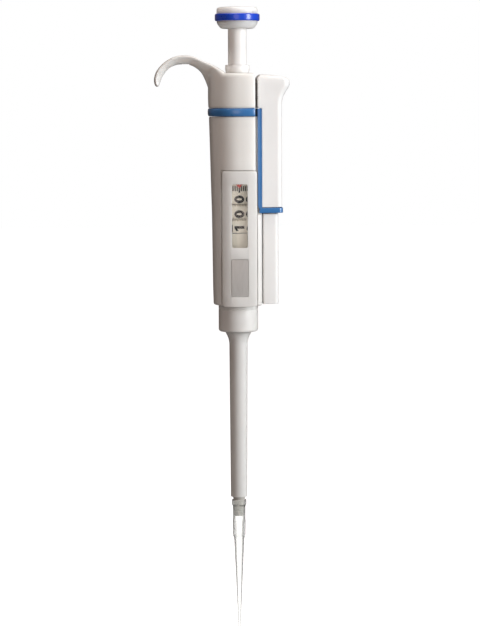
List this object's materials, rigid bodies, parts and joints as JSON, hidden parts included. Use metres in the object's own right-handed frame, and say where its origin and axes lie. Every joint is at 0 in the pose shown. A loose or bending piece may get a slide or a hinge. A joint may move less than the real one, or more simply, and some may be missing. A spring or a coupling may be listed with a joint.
{
  "type": "micropipette",
  "caption": "Air displacement pipette with a push button, number-wheel volume setting, finger hook, thumb tip ejector and a clear tapered tip.",
  "frame": {"origin": "middle of the small flat land under the finger hook, where the hook rests on a pipette stand", "axes": "+Z along the plunger towards the push button, +X from the hook towards the thumb ejector, the display faces -Y"},
  "size_m": [0.0596, 0.0248, 0.2774],
  "materials": {
    "upper_housing": "satin moulded",
    "colour_band": "steel blue",
    "lower_housing": "satin moulded",
    "display_cover": "satin moulded",
    "display_window": "clear pane",
    "index_pointer": "red",
    "label_plate": "bare silver grey",
    "neck_bush": "satin moulded",
    "push_button": "satin moulded",
    "button_ring": "royal blue",
    "push_stem": "satin moulded",
    "push_rod": "drawn six-sided rod",
    "units_wheel": "off-white",
    "tens_wheel": "off-white",
    "hundreds_wheel": "off-white",
    "blank_ring": "off-white",
    "counter_frame": "dark",
    "pinion_shaft": "ground",
    "units_pinion": "dark",
    "tens_pinion": "dark",
    "volume_sleeve": "turned",
    "volume_stop_nut": "turned",
    "piston_carrier": "turned",
    "piston": "polished",
    "first_stop_plate": "turned",
    "primary_spring": "wire",
    "blowout_spring": "wire",
    "ejector_spring": "wire",
    "tip_cone": "light grey",
    "seal_retainer": "dark",
    "piston_seal": "white",
    "seal_o_ring": "black",
    "thumb_ejector": "satin moulded",
    "ejector_trim": "steel blue",
    "ejector_guide": "satin moulded",
    "ejector_rod": "drawn",
    "ejector_collar": "satin moulded",
    "ejector_sleeve": "satin moulded",
    "disposable_tip": "clear polypropylene"
  },
  "bodies": {
    "handle": {"upper_housing": "upper_housing", "colour_band": "colour_band", "lower_housing": "lower_housing", "display_cover": "display_cover", "display_window": "display_window", "index_pointer": "index_pointer", "label_plate": "label_plate", "neck_bush": "neck_bush", "blank_ring": "blank_ring", "counter_frame": "counter_frame", "pinion_shaft": "pinion_shaft", "ejector_guide": "ejector_guide", "tip_cone": "tip_cone", "seal_retainer": "seal_retainer", "piston_seal": "piston_seal", "seal_o_ring": "seal_o_ring", "blowout_spring": "blowout_spring", "ejector_spring": "ejector_spring"},
    "first_stop": {"first_stop_plate": "first_stop_plate", "primary_spring": "primary_spring"},
    "plunger": {"piston_carrier": "piston_carrier", "piston": "piston"},
    "button": {"push_button": "push_button", "button_ring": "button_ring", "push_stem": "push_stem", "push_rod": "push_rod"},
    "units": {"units_wheel": "units_wheel", "volume_sleeve": "volume_sleeve"},
    "tens": {"tens_wheel": "tens_wheel"},
    "hundreds": {"hundreds_wheel": "hundreds_wheel"},
    "units_carry": {"units_pinion": "units_pinion"},
    "tens_carry": {"tens_pinion": "tens_pinion"},
    "stop_nut": {"volume_stop_nut": "volume_stop_nut"},
    "ejector": {"thumb_ejector": "thumb_ejector", "ejector_trim": "ejector_trim", "ejector_rod": "ejector_rod", "ejector_collar": "ejector_collar", "ejector_sleeve": "ejector_sleeve"},
    "tip": {"disposable_tip": "disposable_tip"}
  },
  "joints": [
    {"name": "blowout_stage", "type": "slide", "parent": "handle", "child": "first_stop", "axis": [0, 0, -1], "range_m": [0, 0.003], "stiffness_N_per_m": 1500, "springref_m": -0.004, "deforming": ["blowout_spring"]},
    {"name": "plunger_push", "type": "slide", "parent": "first_stop", "child": "plunger", "axis": [0, 0, -1], "range_m": [0, 0.012], "stiffness_N_per_m": 250, "springref_m": -0.006, "deforming": ["primary_spring"]},
    {"name": "volume_turn", "type": "hinge", "parent": "plunger", "child": "button", "pos_m": [0.0228, 0, 0.0195], "axis": [0, 0, 1], "range_deg": [-3240, 0]},
    {"name": "units_turn", "type": "hinge", "parent": "handle", "child": "units", "pos_m": [0.0228, 0, -0.06], "axis": [0, 0, 1], "range_deg": [-3240, 0]},
    {"name": "tens_turn", "type": "hinge", "parent": "handle", "child": "tens", "pos_m": [0.0228, 0, -0.06], "axis": [0, 0, 1], "range_deg": [-324, 0]},
    {"name": "hundreds_turn", "type": "hinge", "parent": "handle", "child": "hundreds", "pos_m": [0.0228, 0, -0.06], "axis": [0, 0, 1], "range_deg": [-32.4, 0]},
    {"name": "units_carry_turn", "type": "hinge", "parent": "handle", "child": "units_carry", "pos_m": [0.0228, 0.0093, -0.0608], "axis": [0, 0, 1], "range_deg": [0, 1620]},
    {"name": "tens_carry_turn", "type": "hinge", "parent": "handle", "child": "tens_carry", "pos_m": [0.0228, 0.0093, -0.0672], "axis": [0, 0, 1], "range_deg": [0, 162]},
    {"name": "stop_nut_travel", "type": "slide", "parent": "handle", "child": "stop_nut", "axis": [0, 0, -1], "range_m": [0, 0.0108]},
    {"name": "ejector_press", "type": "slide", "parent": "handle", "child": "ejector", "axis": [0, 0, -1], "range_m": [0, 0.008], "stiffness_N_per_m": 300, "springref_m": -0.005, "deforming": ["ejector_spring"]},
    {"name": "tip_release", "type": "slide", "parent": "handle", "child": "tip", "axis": [0, 0, -1], "range_m": [0, 0.008]}
  ],
  "couplings": [
    {"joint": "volume_turn", "follows": "stop_nut_travel", "rad_per_m": -5236},
    {"joint": "units_turn", "follows": "stop_nut_travel", "rad_per_m": -5236},
    {"joint": "tens_turn", "follows": "stop_nut_travel", "rad_per_m": -523.6},
    {"joint": "hundreds_turn", "follows": "stop_nut_travel", "rad_per_m": -52.36},
    {"joint": "units_carry_turn", "follows": "stop_nut_travel", "rad_per_m": 2618},
    {"joint": "tens_carry_turn", "follows": "stop_nut_travel", "rad_per_m": 261.8},
    {"joint": "tip_release", "follows": "ejector_press", "ratio": 1}
  ]
}
